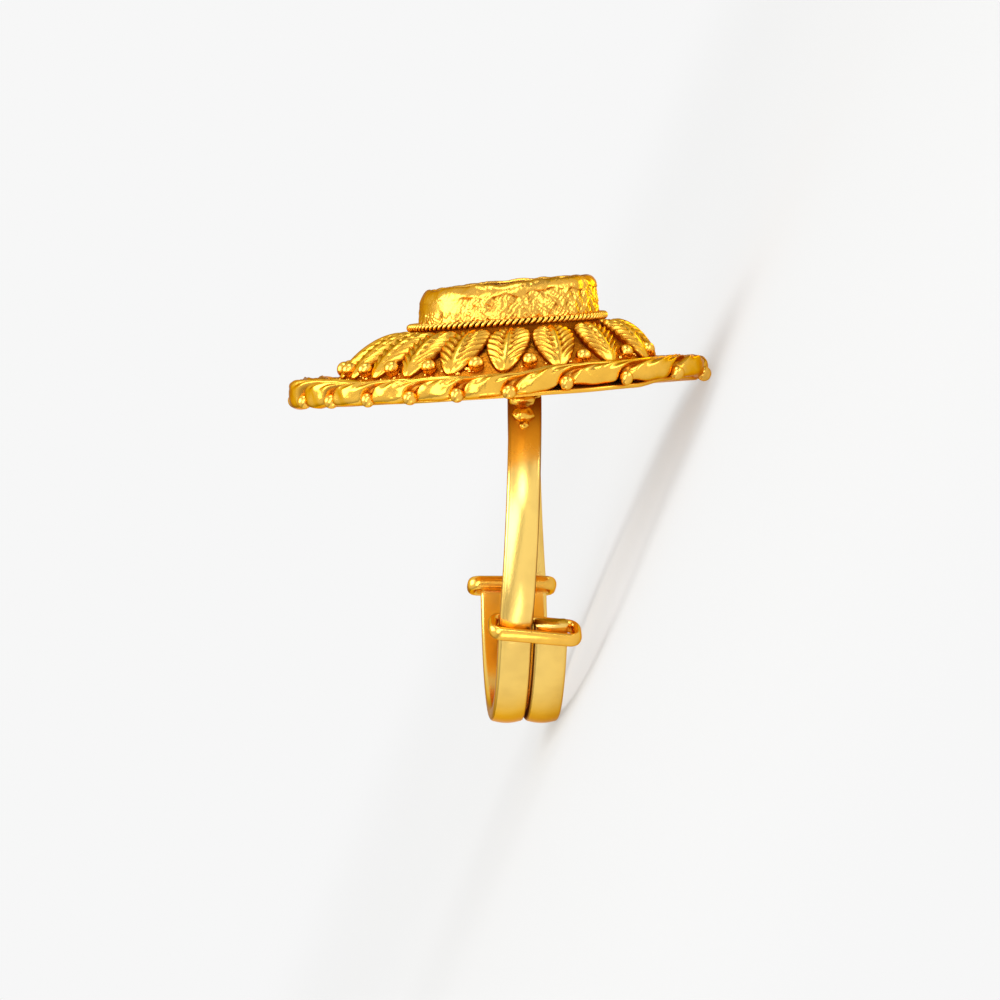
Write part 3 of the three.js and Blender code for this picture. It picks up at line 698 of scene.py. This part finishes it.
strand_out = strand_line - on_circle(wire_ring, wire_round, wire_height, BEZEL_SHIFT)
strand_out = strand_out / np.linalg.norm(strand_out, axis=-1, keepdims=True)
strand_aside = np.cross(strand_lead, strand_out)
strand_sides = np.linspace(0, 2 * math.pi, WIRE_SIDES, endpoint=False)[:, None]
wire_points = strand_line[:, :, None] + WIRE_STRAND * (
    np.cos(strand_sides) * strand_out[:, :, None] + np.sin(strand_sides) * strand_aside[:, :, None]
)
# Painted shade on the inner side of each strand, where the two strands meet.
wire_painted_shade = np.clip(STRAND_SHADE["middle"] - STRAND_SHADE["swing"] * np.cos(strand_sides[:, 0]), 0, 1)
wire = shell("twisted_wire", on_head(wire_points), wire_gold, closed=(True, True), painted_shade=wire_painted_shade)
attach(wire, "root")
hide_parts("setting")

# Bezel
# A collar of thin gold foil pressed round the stone and burnished over its edge. Pressing leaves the wall
# crinkled with fine creases, while the lip is rubbed smooth.

BEZEL_RADIUS = 4.9
BEZEL_TOP_RADIUS = 4.78
BEZEL_FOOT = 3.0
BEZEL_HIDDEN = (3.6, 3.9)
BEZEL_TOP = 6.0
BEZEL_WALL = 0.42
BEZEL_LIP = 0.7
BEZEL_SHOULDER = 0.5
BEZEL_DROOP = 0.3
SHOULDER_ROUNDER = {"out": 0.4, "up": 2.4}
BEZEL_FLOOR = 4.25
BEZEL_SEGMENTS = 720
WALL_STEPS = 60
LIP_STEPS = 20
LIP_BAND = 0.62
LIP_PROUD = 0.042
LIP_FACETS = 0.03
LIP_CRINKLE = 0.3
LIP_LINE_UNEVEN = 0.1
LIP_LINE_BLEND = 0.04
LIP_FROM_DEG = 5
LIP_LEVEL = 0.5
LIP_TOP_FALL = 0.005
LIP_EDGE_SECTION = ((0.05, 0.03), (0.0, 0.09), (0.03, 0.16))
LIP_UNDERCUT = (0.06, 0.2)
UNDER_LIP = {"down": 0.06, "half_height": 0.04, "shade": 0.35}
BEZEL_PIN = 0.01
CRUMPLE = 0.036
CRINKLE = 0.017
CRUMPLE_TURN = 0.3
CREASE_SHADE = 14
CREASE_CLEAR = 0.12
LIP_DIP = {"down": 0.13, "at_deg": -4, "half_deg": 13}
POLISHED_DEG = ((-85, -70), (-42, -26))
POLISHED_UP = ((4.35, 4.7), (5.3, 5.5))
STONE_GIRDLE = 5.3

# Pressed foil: crinkled, so it breaks light into many small bright and dark flakes, with painted shade in
# its creases, under the lip and over its foot.
foil_gold = gold("pressed_foil_gold", "#ebb248", "#864808", 0.22, grain=0.25, grain_height=0.02)

bezel_round = np.linspace(-math.pi, math.pi, BEZEL_SEGMENTS, endpoint=False)[:, None]
droop = BEZEL_DROOP * ((1 - np.sin(bezel_round)) / 2) ** 3
dip_angle = (np.degrees(bezel_round) - LIP_DIP["at_deg"]) / LIP_DIP["half_deg"]
bezel_top = BEZEL_TOP - droop - LIP_DIP["down"] * np.exp(-dip_angle ** 2)
shoulder_out = BEZEL_SHOULDER + SHOULDER_ROUNDER["out"] * droop
shoulder_up = BEZEL_SHOULDER + SHOULDER_ROUNDER["up"] * droop
up_wall = np.linspace(0, 1, WALL_STEPS)
wall_up = BEZEL_FOOT + (bezel_top - shoulder_up - BEZEL_FOOT) * up_wall
wall_out = BEZEL_RADIUS + (BEZEL_TOP_RADIUS - BEZEL_RADIUS) * up_wall + 0 * droop
over = np.radians(np.linspace(LIP_FROM_DEG, 90, LIP_STEPS))
over_out = BEZEL_TOP_RADIUS - shoulder_out * (1 - np.cos(over))
over_up = bezel_top - shoulder_up * (1 - np.sin(over))
outside_out = np.concatenate([wall_out, over_out], axis=1)
outside_up = np.concatenate([wall_up, over_up], axis=1)
facing_up = np.concatenate([0 * up_wall, np.sin(over)])
facing_out = np.concatenate([1 + 0 * up_wall, np.cos(over)])
along_wall = outside_up + LIP_LEVEL * (BEZEL_TOP_RADIUS - outside_out)
lip_waves = ripples(bezel_round, 0 * droop, count=16, around=(2, 26), upward=0, folded=True)
lip_line = bezel_top - LIP_BAND + LIP_LINE_UNEVEN * lip_waves
on_lip = smooth(-LIP_LINE_BLEND, LIP_LINE_BLEND, along_wall - lip_line)
from_side, to_side = np.radians(POLISHED_DEG[0]), np.radians(POLISHED_DEG[1])
polished = smooth(*from_side, bezel_round) * (1 - smooth(*to_side, bezel_round))
polished = polished * smooth(*POLISHED_UP[0], outside_up) * (1 - smooth(*POLISHED_UP[1], outside_up))
creased = (1 - on_lip) * (1 - polished)
crumple = CRUMPLE * ripples(bezel_round, along_wall, count=40, around=(8, 50), upward=9, folded=True)
crinkle_round = bezel_round + CRUMPLE_TURN * crumple
crinkle = CRINKLE * ripples(crinkle_round, along_wall, count=60, around=(50, 150), upward=34, folded=True)
lip_facets = LIP_FACETS * ripples(bezel_round, along_wall, count=30, around=(6, 34), upward=6, folded=True)
dents = creased * (crumple + crinkle) + on_lip * (LIP_PROUD + lip_facets + LIP_CRINKLE * crinkle)
dents = dents * smooth(*BEZEL_HIDDEN, outside_up)
outside_out = outside_out + dents * facing_out
outside_up = outside_up + (dents - LIP_PROUD * on_lip) * facing_up
ridge_top = outside_up[:, -1:]
inner = BEZEL_RADIUS - BEZEL_WALL
lip_edge = BEZEL_TOP_RADIUS - BEZEL_LIP
lip_middle = (BEZEL_TOP_RADIUS - shoulder_out + lip_edge + LIP_EDGE_SECTION[0][0]) / 2
lip_section = [
    (lip_middle, ridge_top - LIP_TOP_FALL),
    *[(lip_edge + out, ridge_top - fall) for out, fall in LIP_EDGE_SECTION],
    (inner - LIP_UNDERCUT[0], STONE_GIRDLE + LIP_UNDERCUT[1]),
    (inner, STONE_GIRDLE),
    (inner, BEZEL_FLOOR),
    (BEZEL_PIN, BEZEL_FLOOR),
    (BEZEL_PIN, BEZEL_FOOT),
]
lip_out = np.concatenate([0 * droop + out for out, _ in lip_section], axis=1)
lip_up = np.concatenate([0 * droop + up for _, up in lip_section], axis=1)
bezel_out = np.concatenate([outside_out, lip_out], axis=1)
bezel_up = np.concatenate([outside_up, lip_up], axis=1)
# Painted shade: in the creases of the wall, in a band just under the lip, and over the whole foot below the
# wire.
under_lip = np.exp(-((along_wall - lip_line + UNDER_LIP["down"]) / UNDER_LIP["half_height"]) ** 2)
crease_painted_shade = -CREASE_SHADE * (crumple + crinkle) * creased - CREASE_CLEAR
wall_painted_shade = np.clip(crease_painted_shade + UNDER_LIP["shade"] * under_lip, 0, 1)
wall_painted_shade = np.maximum(wall_painted_shade, 1 - smooth(*BEZEL_HIDDEN, outside_up))
bezel_painted_shade = np.concatenate([wall_painted_shade, 0 * lip_out], axis=1)
bezel = shell(
    "bezel", on_head(on_circle(bezel_out, bezel_round, bezel_up, BEZEL_SHIFT)), foil_gold,
    closed=(True, True), painted_shade=bezel_painted_shade,
)
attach(bezel, "root")
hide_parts("setting")

# Stone
# A flat-backed cut crystal with a broad table and facets down to the lip. It stays as the solid made it,
# and only gets its material.

STONE_COLOUR = "#e6dcd8"
STONE_IOR = 1.55
STONE_ROUGHNESS = 0.02

# Clear crystal over foil: it takes its glow from the gold below and shows the room on its facets.
crystal, _, crystal_shader = new_material("cut_crystal")
crystal_shader.inputs["Base Color"].default_value = srgb(STONE_COLOUR)
crystal_shader.inputs["Roughness"].default_value = STONE_ROUGHNESS
crystal_shader.inputs["IOR"].default_value = STONE_IOR
crystal_shader.inputs["Transmission Weight"].default_value = 1
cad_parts["stone"].data.materials.clear()
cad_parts["stone"].data.materials.append(crystal)

# Band strips
# Two flat strips of rolled gold, domed on the outside. Each goes from under the plate down its own side of
# the finger and up the other, beside its neighbour, so that the ring can be drawn smaller or larger.

FINGER_RADIUS = 8.8
STRIP_THICKNESS = 0.85
STRIP_WIDTH = 1.75
STRIP_GAP = 0.12
STRIP_EDGE = 0.22
STRIP_CROWN = 0.09
STRIP_TOP_OFFSET = 0.27
STRIP_START_DEG = -159.5
STRIP_END_PAST_LOOP_DEG = 2.8
STRIP_STEPS = 260
STRIP_CORNER_STEPS = 7
STRIP_CROWN_STEPS = 17
STRIP_HIDDEN_FROM = 0.6
STRIP_SHADED_DEG = (118, 150)
NEAR_LOOP_DEG = 63.4
FAR_LOOP_DEG = 72.5
SEAT_GAP = 0.1

band_radius = FINGER_RADIUS + STRIP_THICKNESS
low_offset = (STRIP_WIDTH + STRIP_GAP) / 2


def band_point(sideways, radius, angle):
    """A point of the band: the angle goes from the bottom, and is negative on the strip's own leg."""
    away, height = radius * np.sin(angle), band_radius - radius * np.cos(angle)
    return np.stack(np.broadcast_arrays(sideways, away, height), axis=-1)


def under_plate(points, turned):
    """Turns the far shank half round, and presses flat under the plate what would go through it."""
    if turned:
        points = points * np.array([-1, -1, 1])
    on_plate = (points - head_at) @ head_axes.T
    on_plate[..., 2] = np.minimum(on_plate[..., 2], -SEAT_GAP)
    return on_head(on_plate)


def strip_points(passed_loop_deg, own_loop_deg):
    """A strip: its section runs along the band, and above the loop it passes it draws in to the middle.

    The second array is its painted shade: dark under the plate and on the edge beside its neighbour.
    """
    end_deg = own_loop_deg + STRIP_END_PAST_LOOP_DEG
    angle = np.radians(np.linspace(STRIP_START_DEG, end_deg, STRIP_STEPS))[:, None]
    seat_angle = math.acos((HEAD_HEIGHT - band_radius) / band_radius)
    passed = math.radians(passed_loop_deg)
    share = np.clip((-angle - passed) / (math.pi - seat_angle - passed), 0, 1)
    offset = low_offset + (STRIP_TOP_OFFSET - low_offset) * share
    wide = STRIP_WIDTH / 2 - STRIP_EDGE
    corner = np.radians(np.linspace(0, 90, STRIP_CORNER_STEPS))
    crown = np.linspace(1, -1, STRIP_CROWN_STEPS)[1:-1] * wide
    outer = STRIP_THICKNESS - STRIP_CROWN
    corner_side = np.concatenate([np.sin(corner), np.cos(corner)])
    corner_out = np.concatenate([
        STRIP_EDGE * (1 - np.cos(corner)),
        outer - STRIP_EDGE * (1 - np.sin(corner)),
    ])
    right_side = wide + STRIP_EDGE * corner_side
    sideways = np.concatenate([right_side, crown, -right_side[::-1]])
    crown_out = outer + STRIP_CROWN * (1 - (crown / wide) ** 2)
    outward = np.concatenate([corner_out, crown_out, corner_out[::-1]])
    points = band_point(sideways - offset, FINGER_RADIUS + outward, angle)
    ends = points[[0, -1]].mean(axis=1, keepdims=True) + 0 * points[[0, -1]]
    shaded = smooth(*np.radians(STRIP_SHADED_DEG), -angle)
    hidden = smooth(wide + STRIP_EDGE * STRIP_HIDDEN_FROM, wide + STRIP_EDGE, sideways)
    painted_shade = np.maximum(shaded, hidden)
    painted_shade = np.concatenate([painted_shade[:1], painted_shade, painted_shade[-1:]])
    return np.concatenate([ends[:1], points, ends[1:]]), painted_shade


# Rolled gold with a satin polish: broad soft reflections and hair scratches.
strip_gold = gold(
    "satin_rolled_gold", "#ffd774", "#8a4a08", 0.22, grain=0.12, grain_height=0.004, mottle=2.5,
)

for name, node, passed_loop_deg, own_loop_deg, turned in (
    ("strip_near", "shank_near", NEAR_LOOP_DEG, FAR_LOOP_DEG, False),
    ("strip_far", "shank_far", FAR_LOOP_DEG, NEAR_LOOP_DEG, True),
):
    points, painted_shade = strip_points(passed_loop_deg, own_loop_deg)
    strip = shell(name, under_plate(points, turned), strip_gold, painted_shade=painted_shade)
    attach(strip, "root")
    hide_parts(node)

# Loops
# A loop of oval wire soldered on the end of each strip and bent round both, so the other strip slides
# through it. A lump of solder holds it to the inner face of its own strip.

LOOP_WIRE_THICKNESS = 0.5
LOOP_WIRE_HEIGHT = 0.76
LOOP_OWN_CLEARANCE = 0.24
LOOP_SLIDE_CLEARANCE = 0.06
LOOP_CORNER = 0.45
NEAR_LOOP_TILT_DEG = 6
FAR_LOOP_TILT_DEG = 0
LOOP_STEPS_PER_CORNER = 14
LOOP_WIRE_SIDES = 24
LOOP_SOLDER = {"half_width": 0.73, "half_length": 0.36, "half_depth": 0.2, "sunk": 0.06}


def loop_points(loop_deg, tilt_deg):
    """A loop: an oval section along a rounded rectangle round both strips, at its angle up the band."""
    half_wire = LOOP_WIRE_THICKNESS / 2
    left = -low_offset - STRIP_WIDTH / 2 - LOOP_OWN_CLEARANCE - half_wire + LOOP_CORNER
    right_end = low_offset + STRIP_WIDTH / 2 + LOOP_SLIDE_CLEARANCE + half_wire - LOOP_CORNER
    reach = STRIP_THICKNESS / 2 + LOOP_SLIDE_CLEARANCE + half_wire - LOOP_CORNER
    quarter = np.linspace(0, 90, LOOP_STEPS_PER_CORNER)
    bends = np.radians(np.concatenate([quarter, quarter + 90, quarter + 180, quarter + 270]))[:, None]
    centre_side = np.repeat([right_end, left, left, right_end], LOOP_STEPS_PER_CORNER)[:, None]
    centre_out = np.repeat([reach, reach, -reach, -reach], LOOP_STEPS_PER_CORNER)[:, None]
    wire_turn = np.linspace(0, 2 * math.pi, LOOP_WIRE_SIDES, endpoint=False)
    from_centre = LOOP_CORNER + half_wire * np.cos(wire_turn)
    angle = math.radians(loop_deg)
    middle = FINGER_RADIUS + STRIP_THICKNESS / 2
    points = band_point(
        centre_side + from_centre * np.cos(bends), middle + centre_out + from_centre * np.sin(bends), angle,
    )
    upward = np.array([0, math.cos(angle), math.sin(angle)])
    climb = (centre_side + LOOP_CORNER * np.cos(bends)) * math.tan(math.radians(tilt_deg))
    return points + (climb + LOOP_WIRE_HEIGHT / 2 * np.sin(wire_turn))[..., None] * upward


def solder_points(loop_deg):
    """The solder: a ball drawn out sideways and pressed flat against the inner face of the strip."""
    angle = math.radians(loop_deg)
    sizes = np.array([LOOP_SOLDER["half_width"], LOOP_SOLDER["half_length"], LOOP_SOLDER["half_depth"]])
    turned = np.array([
        [1, 0, 0],
        [0, math.cos(angle), math.sin(angle)],
        [0, -math.sin(angle), math.cos(angle)],
    ])
    return band_point(-low_offset, FINGER_RADIUS - LOOP_SOLDER["sunk"], angle) + (sizes * ball) @ turned


# Solder: paler and lumpy, left as it ran. On the shoulders its hollows get painted shade.
solder_gold = gold("gold_solder", "#f6bc46", "#8d4a08", 0.2, grain=0.3, grain_height=0.03)

for name, node, loop_deg, tilt_deg, turned in (
    ("far", "shank_near", FAR_LOOP_DEG, FAR_LOOP_TILT_DEG, False),
    ("near", "shank_far", NEAR_LOOP_DEG, NEAR_LOOP_TILT_DEG, True),
):
    points = under_plate(loop_points(loop_deg, tilt_deg), turned)
    loop = shell("loop_" + name, points, melted_gold, closed=(True, True))
    solder = shell("loop_solder_" + name, under_plate(solder_points(loop_deg), turned), solder_gold)
    for piece in (loop, solder):
        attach(piece, "root")
        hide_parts(node)

# Shoulders
# Where each strip meets the plate a nugget of gold with a small ball below it covers the joint, and solder
# has run up round them in a rough neck and along the corner under the plate.

SHOULDER_ASIDE = 0.45
SHOULDER_NUGGET = {"half_sizes": (0.57, 0.5, 0.44), "drop": 1.1, "standoff": 0.12, "lumps": 0.1}
SHOULDER_TIP = {"radius": 0.27, "drop": 0.52, "lumps": 0.06}
SHOULDER_NECK = {"top": 0.86, "foot": 0.4, "length": 1.0, "rise": 0.62, "flat": 0.66, "lumps": 0.12}
SHOULDER_FILLET = {"half_sizes": (0.92, 0.5, 0.3), "rise": 1.0, "lumps": 0.12}
LUMP_ROWS = 41
LUMP_SIDES = 64
LUMP_WAVES = 16
LUMP_WAVINESS = (3, 8)
LUMP_SHADE = 0.9
LUMP_CLEAR = 0.1

lump = unit_ball(LUMP_ROWS, LUMP_SIDES)


def lumpy(points, depth):
    """Solder as it ran: crossing zigzag waves move the points of a ball out and in. Its hollows get painted
    shade.
    """
    wave_ways = rng.normal(0, 1, (LUMP_WAVES, 3))
    wave_ways = wave_ways / np.linalg.norm(wave_ways, axis=1, keepdims=True)
    wave_ways = wave_ways * rng.uniform(*LUMP_WAVINESS, (LUMP_WAVES, 1))
    phase = np.tensordot(lump, wave_ways, axes=(2, 1)) + rng.uniform(0, 2 * math.pi, LUMP_WAVES)
    zigzag = 1 - 2 * np.arccos(np.clip(np.cos(phase), -1, 1)) / math.pi
    waves = zigzag.sum(axis=-1) / math.sqrt(LUMP_WAVES)
    return points * (1 + depth * waves[..., None]), np.clip(-LUMP_SHADE * waves - LUMP_CLEAR, 0, 1)


def shoulder_seat(rise, standoff):
    """The middle of a lump: rise above the nugget's, and standoff out from the leg's outer face there."""
    height = HEAD_HEIGHT - SHOULDER_NUGGET["drop"] + rise
    leg_face = math.sqrt(band_radius ** 2 - (height - band_radius) ** 2)
    return np.array([-SHOULDER_ASIDE, -leg_face - standoff, height])


def shoulder_points():
    """The nugget, the small ball below it, the neck above it and the fillet in the plate's corner."""
    top, foot = SHOULDER_NECK["top"], SHOULDER_NECK["foot"]
    waist = (foot + top) / 2 + (top - foot) / 2 * lump[..., 2:]
    neck_round = lump[..., :2] * np.array([1, SHOULDER_NECK["flat"]])
    neck = np.concatenate([neck_round * waist, lump[..., 2:] * SHOULDER_NECK["length"] / 2], axis=-1)
    nugget, nugget_recess = lumpy(lump * SHOULDER_NUGGET["half_sizes"], SHOULDER_NUGGET["lumps"])
    tip, tip_recess = lumpy(lump * SHOULDER_TIP["radius"], SHOULDER_TIP["lumps"])
    neck, neck_recess = lumpy(neck, SHOULDER_NECK["lumps"])
    fillet, fillet_recess = lumpy(lump * SHOULDER_FILLET["half_sizes"], SHOULDER_FILLET["lumps"])
    points = np.stack([
        shoulder_seat(0, SHOULDER_NUGGET["standoff"]) + nugget,
        shoulder_seat(-SHOULDER_TIP["drop"], 0) + tip,
        shoulder_seat(SHOULDER_NECK["rise"], 0) + neck,
        shoulder_seat(SHOULDER_FILLET["rise"], 0) + fillet,
    ])
    return points, np.stack([nugget_recess, tip_recess, neck_recess, fillet_recess])


for name, node, turned in (("near", "shank_near", False), ("far", "shank_far", True)):
    points, painted_shade = shoulder_points()
    shoulder_piece = shell("shoulder_" + name, under_plate(points, turned), solder_gold, painted_shade=painted_shade)
    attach(shoulder_piece, "root")
    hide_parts(node)
